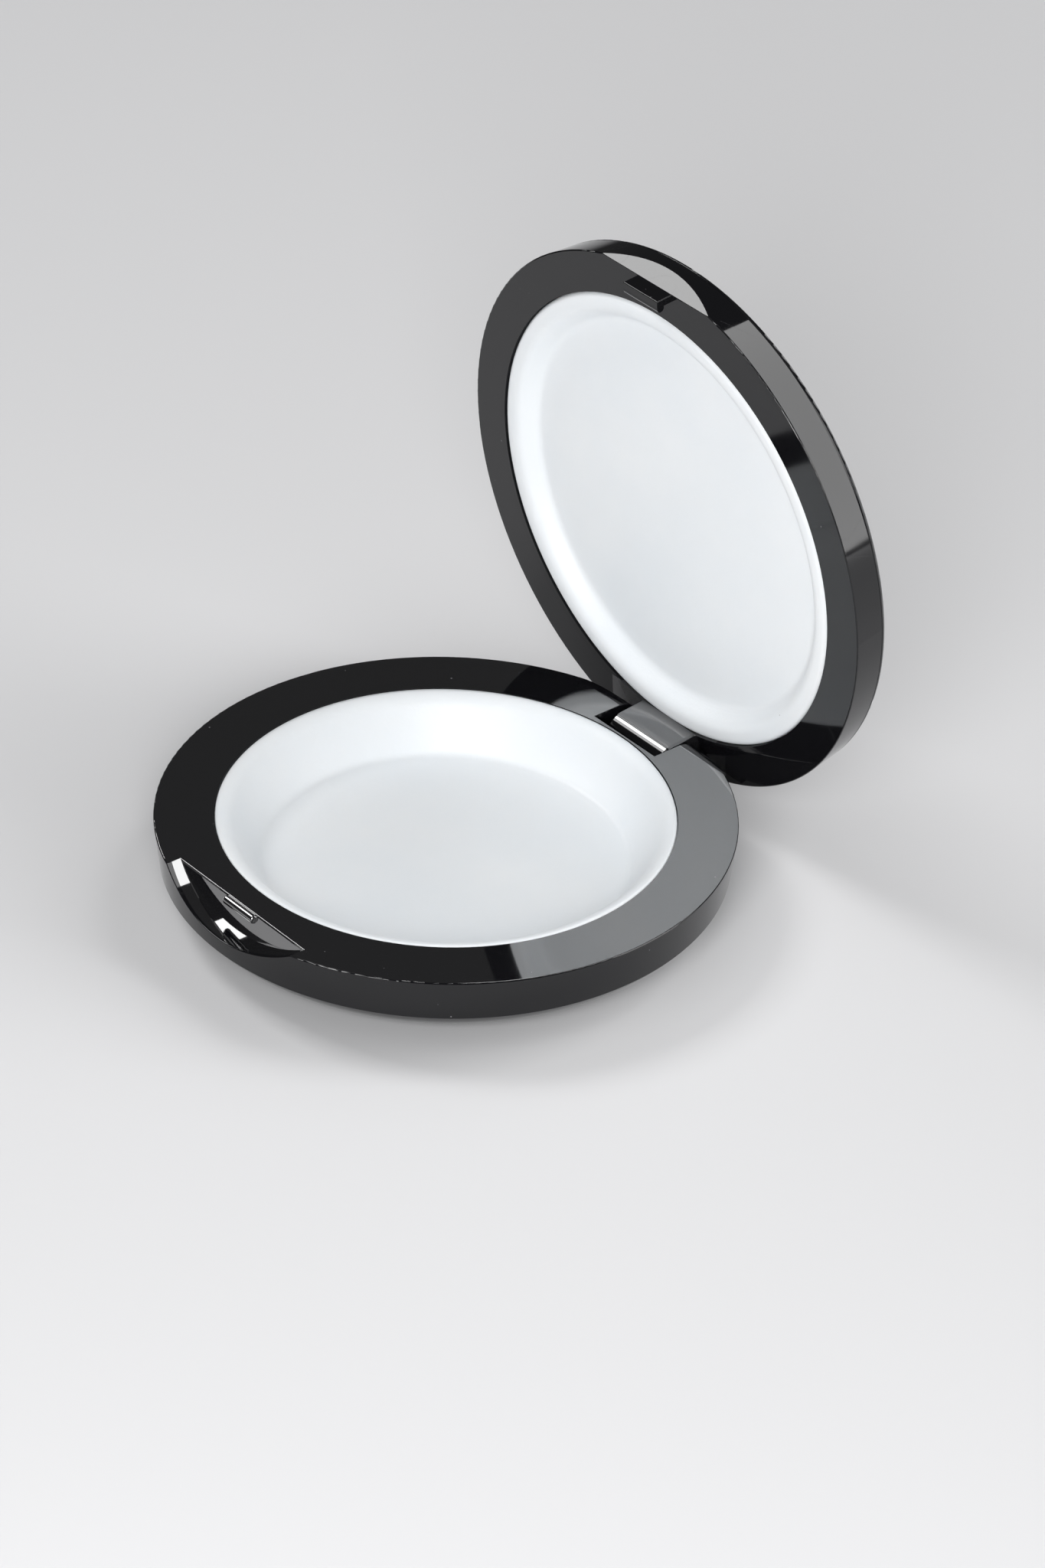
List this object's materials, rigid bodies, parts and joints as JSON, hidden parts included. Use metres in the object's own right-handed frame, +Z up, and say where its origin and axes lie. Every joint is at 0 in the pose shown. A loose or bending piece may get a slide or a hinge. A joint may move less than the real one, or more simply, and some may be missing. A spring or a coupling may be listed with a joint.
{
  "type": "pocket paint palette",
  "caption": "Round hinged pocket palette: a glossy black moulded case with a white silicone mixing dish in each half, a thumb notch, a snap latch and a friction hinge.",
  "frame": {"origin": "centre of the flat foot under the base", "axes": "+Z up out of the base dish, hinge at +Y, thumb notch and latch at -Y, hinge pin along X; the lid stands 85 degrees open"},
  "size_m": [0.075, 0.0805, 0.0792],
  "materials": {
    "casing": "high gloss black, finely scuffed",
    "dish": "satin white silicone",
    "pin": "plain ground steel"
  },
  "bodies": {
    "base": {"base_frame": "casing", "base_cover": "casing", "base_liner": "dish", "hinge_pin": "pin"},
    "lid": {"lid_frame": "casing", "lid_cover": "casing", "lid_liner": "dish"}
  },
  "joints": [
    {"name": "lid_hinge", "type": "hinge", "parent": "base", "child": "lid", "pos_m": [0, 0.0342, 0.0077], "axis": [-1, 0, 0], "range_deg": [-85, 25]}
  ]
}
